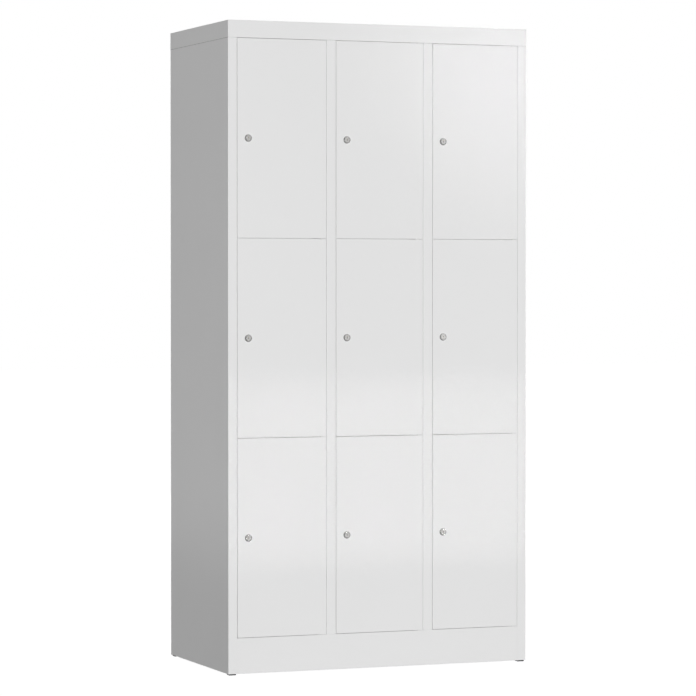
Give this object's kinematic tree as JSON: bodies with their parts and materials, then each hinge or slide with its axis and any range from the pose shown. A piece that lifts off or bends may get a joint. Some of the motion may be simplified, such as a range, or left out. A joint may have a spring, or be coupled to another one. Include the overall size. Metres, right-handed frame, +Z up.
{
  "type": "compartment locker",
  "caption": "Free-standing sheet-steel locker with a grid of equal compartments, each with a plain hinged door and a cam lock, on low plastic feet.",
  "frame": {"origin": "on the floor under the middle of the whole object, lock heads included", "axes": "+X to the right as seen from the front, +Y from the doors to the back, +Z up"},
  "size_m": [0.9, 0.5026, 1.804],
  "materials": {
    "white_paint": "satin powder coat, white",
    "nickel": "satin nickel plate",
    "zinc": "bright zinc plate",
    "rubber": "matt",
    "black_plastic": "matt moulded black"
  },
  "bodies": {
    "carcass": {"top_cap": "white_paint", "left_side_panel": "white_paint", "right_side_panel": "white_paint", "left_partition": "white_paint", "right_partition": "white_paint", "plinth": "white_paint", "back_panel": "white_paint", "compartment_floors": "white_paint", "lower_shelves": "white_paint", "upper_shelves": "white_paint", "hinge_tongues": "white_paint", "hinge_rods": "zinc", "door_buffers": "rubber", "corner_plates": "zinc", "feet": "black_plastic"},
    "door_lower_left": {"door_panel_lower_left": "white_paint", "lock_channel_lower_left": "nickel", "lock_clip_lower_left": "nickel"},
    "lock_lower_left": {"lock_plug_lower_left": "nickel", "lock_cam_lower_left": "zinc"},
    "door_middle_left": {"door_panel_middle_left": "white_paint", "lock_channel_middle_left": "nickel", "lock_clip_middle_left": "nickel"},
    "lock_middle_left": {"lock_plug_middle_left": "nickel", "lock_cam_middle_left": "zinc"},
    "door_upper_left": {"door_panel_upper_left": "white_paint", "lock_channel_upper_left": "nickel", "lock_clip_upper_left": "nickel"},
    "lock_upper_left": {"lock_plug_upper_left": "nickel", "lock_cam_upper_left": "zinc"},
    "door_lower_centre": {"door_panel_lower_centre": "white_paint", "lock_channel_lower_centre": "nickel", "lock_clip_lower_centre": "nickel"},
    "lock_lower_centre": {"lock_plug_lower_centre": "nickel", "lock_cam_lower_centre": "zinc"},
    "door_middle_centre": {"door_panel_middle_centre": "white_paint", "lock_channel_middle_centre": "nickel", "lock_clip_middle_centre": "nickel"},
    "lock_middle_centre": {"lock_plug_middle_centre": "nickel", "lock_cam_middle_centre": "zinc"},
    "door_upper_centre": {"door_panel_upper_centre": "white_paint", "lock_channel_upper_centre": "nickel", "lock_clip_upper_centre": "nickel"},
    "lock_upper_centre": {"lock_plug_upper_centre": "nickel", "lock_cam_upper_centre": "zinc"},
    "door_lower_right": {"door_panel_lower_right": "white_paint", "lock_channel_lower_right": "nickel", "lock_clip_lower_right": "nickel"},
    "lock_lower_right": {"lock_plug_lower_right": "nickel", "lock_cam_lower_right": "zinc"},
    "door_middle_right": {"door_panel_middle_right": "white_paint", "lock_channel_middle_right": "nickel", "lock_clip_middle_right": "nickel"},
    "lock_middle_right": {"lock_plug_middle_right": "nickel", "lock_cam_middle_right": "zinc"},
    "door_upper_right": {"door_panel_upper_right": "white_paint", "lock_channel_upper_right": "nickel", "lock_clip_upper_right": "nickel"},
    "lock_upper_right": {"lock_plug_upper_right": "nickel", "lock_cam_upper_right": "zinc"}
  },
  "joints": [
    {"name": "hinge_lower_left", "type": "hinge", "parent": "carcass", "child": "door_lower_left", "pos_m": [-0.177, -0.2447, 0.37822], "axis": [0, 0, 1], "range_deg": [0, 110]},
    {"name": "key_lower_left", "type": "hinge", "parent": "door_lower_left", "child": "lock_lower_left", "pos_m": [-0.391, -0.2487, 0.37822], "axis": [0, 1, 0], "range_deg": [0, 90]},
    {"name": "hinge_middle_left", "type": "hinge", "parent": "carcass", "child": "door_middle_left", "pos_m": [-0.177, -0.2447, 0.92925], "axis": [0, 0, 1], "range_deg": [0, 110]},
    {"name": "key_middle_left", "type": "hinge", "parent": "door_middle_left", "child": "lock_middle_left", "pos_m": [-0.391, -0.2487, 0.92925], "axis": [0, 1, 0], "range_deg": [0, 90]},
    {"name": "hinge_upper_left", "type": "hinge", "parent": "carcass", "child": "door_upper_left", "pos_m": [-0.177, -0.2447, 1.48028], "axis": [0, 0, 1], "range_deg": [0, 110]},
    {"name": "key_upper_left", "type": "hinge", "parent": "door_upper_left", "child": "lock_upper_left", "pos_m": [-0.391, -0.2487, 1.48028], "axis": [0, 1, 0], "range_deg": [0, 90]},
    {"name": "hinge_lower_centre", "type": "hinge", "parent": "carcass", "child": "door_lower_centre", "pos_m": [0.115, -0.2447, 0.37822], "axis": [0, 0, 1], "range_deg": [0, 110]},
    {"name": "key_lower_centre", "type": "hinge", "parent": "door_lower_centre", "child": "lock_lower_centre", "pos_m": [-0.099, -0.2487, 0.37822], "axis": [0, 1, 0], "range_deg": [0, 90]},
    {"name": "hinge_middle_centre", "type": "hinge", "parent": "carcass", "child": "door_middle_centre", "pos_m": [0.115, -0.2447, 0.92925], "axis": [0, 0, 1], "range_deg": [0, 110]},
    {"name": "key_middle_centre", "type": "hinge", "parent": "door_middle_centre", "child": "lock_middle_centre", "pos_m": [-0.099, -0.2487, 0.92925], "axis": [0, 1, 0], "range_deg": [0, 90]},
    {"name": "hinge_upper_centre", "type": "hinge", "parent": "carcass", "child": "door_upper_centre", "pos_m": [0.115, -0.2447, 1.48028], "axis": [0, 0, 1], "range_deg": [0, 110]},
    {"name": "key_upper_centre", "type": "hinge", "parent": "door_upper_centre", "child": "lock_upper_centre", "pos_m": [-0.099, -0.2487, 1.48028], "axis": [0, 1, 0], "range_deg": [0, 90]},
    {"name": "hinge_lower_right", "type": "hinge", "parent": "carcass", "child": "door_lower_right", "pos_m": [0.407, -0.2447, 0.37822], "axis": [0, 0, 1], "range_deg": [0, 110]},
    {"name": "key_lower_right", "type": "hinge", "parent": "door_lower_right", "child": "lock_lower_right", "pos_m": [0.193, -0.2487, 0.37822], "axis": [0, 1, 0], "range_deg": [0, 90]},
    {"name": "hinge_middle_right", "type": "hinge", "parent": "carcass", "child": "door_middle_right", "pos_m": [0.407, -0.2447, 0.92925], "axis": [0, 0, 1], "range_deg": [0, 110]},
    {"name": "key_middle_right", "type": "hinge", "parent": "door_middle_right", "child": "lock_middle_right", "pos_m": [0.193, -0.2487, 0.92925], "axis": [0, 1, 0], "range_deg": [0, 90]},
    {"name": "hinge_upper_right", "type": "hinge", "parent": "carcass", "child": "door_upper_right", "pos_m": [0.407, -0.2447, 1.48028], "axis": [0, 0, 1], "range_deg": [0, 110]},
    {"name": "key_upper_right", "type": "hinge", "parent": "door_upper_right", "child": "lock_upper_right", "pos_m": [0.193, -0.2487, 1.48028], "axis": [0, 1, 0], "range_deg": [0, 90]}
  ]
}
